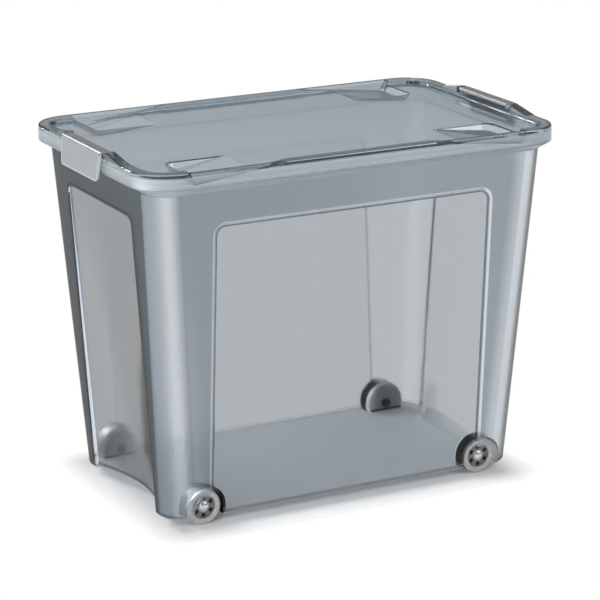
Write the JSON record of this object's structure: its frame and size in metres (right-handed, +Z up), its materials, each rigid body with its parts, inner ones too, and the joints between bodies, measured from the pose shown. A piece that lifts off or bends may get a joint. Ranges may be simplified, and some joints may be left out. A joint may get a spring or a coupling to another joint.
{
  "type": "wheeled storage box",
  "caption": "Tall see-through plastic storage box with drafted walls, rolling on fixed wheels set into its foot, with a lift-off lid held by a flip clip at each end.",
  "frame": {"origin": "on the ground under the middle of the box, between the four wheels", "axes": "+X along the box's length towards the right-hand clip, +Y across towards the rear, +Z up"},
  "size_m": [0.6152, 0.381, 0.4855],
  "materials": {
    "smoked_tub": "smoked see-through polypropylene, glossy on the panels and slightly frosted on the posts",
    "smoked_lid": "smoked see-through polypropylene, glossy",
    "grey_clip": "opaque mid grey moulded plastic, satin",
    "grey_wheel": "opaque warm grey moulded plastic, satin",
    "bright_pin": "bright plated steel, domed head",
    "black_cap": "black push-on cap"
  },
  "bodies": {
    "tub": {"tub": "smoked_tub", "front_left_axle_pin": "bright_pin", "front_left_axle_cap": "black_cap", "front_right_axle_pin": "bright_pin", "front_right_axle_cap": "black_cap", "rear_left_axle_pin": "bright_pin", "rear_left_axle_cap": "black_cap", "rear_right_axle_pin": "bright_pin", "rear_right_axle_cap": "black_cap"},
    "lid": {"lid": "smoked_lid"},
    "left_clip": {"left_clip": "grey_clip"},
    "right_clip": {"right_clip": "grey_clip"},
    "front_left_wheel": {"front_left_wheel": "grey_wheel"},
    "front_right_wheel": {"front_right_wheel": "grey_wheel"},
    "rear_left_wheel": {"rear_left_wheel": "grey_wheel"},
    "rear_right_wheel": {"rear_right_wheel": "grey_wheel"}
  },
  "joints": [
    {"name": "lid_lift", "type": "slide", "parent": "tub", "child": "lid", "axis": [0, 0, 1], "range_m": [0, 0.25]},
    {"name": "left_clip_flip", "type": "hinge", "parent": "lid", "child": "left_clip", "pos_m": [-0.291, 0, 0.4823], "axis": [0, 1, 0], "range_deg": [0, 115]},
    {"name": "right_clip_flip", "type": "hinge", "parent": "lid", "child": "right_clip", "pos_m": [0.291, 0, 0.4823], "axis": [0, -1, 0], "range_deg": [0, 115]},
    {"name": "front_left_wheel_spin", "type": "hinge", "parent": "tub", "child": "front_left_wheel", "pos_m": [-0.205, -0.1315, 0.024], "axis": [0, 1, 0], "continuous": true},
    {"name": "front_right_wheel_spin", "type": "hinge", "parent": "tub", "child": "front_right_wheel", "pos_m": [0.205, -0.1315, 0.024], "axis": [0, 1, 0], "continuous": true},
    {"name": "rear_left_wheel_spin", "type": "hinge", "parent": "tub", "child": "rear_left_wheel", "pos_m": [-0.205, 0.1315, 0.024], "axis": [0, 1, 0], "continuous": true},
    {"name": "rear_right_wheel_spin", "type": "hinge", "parent": "tub", "child": "rear_right_wheel", "pos_m": [0.205, 0.1315, 0.024], "axis": [0, 1, 0], "continuous": true}
  ]
}
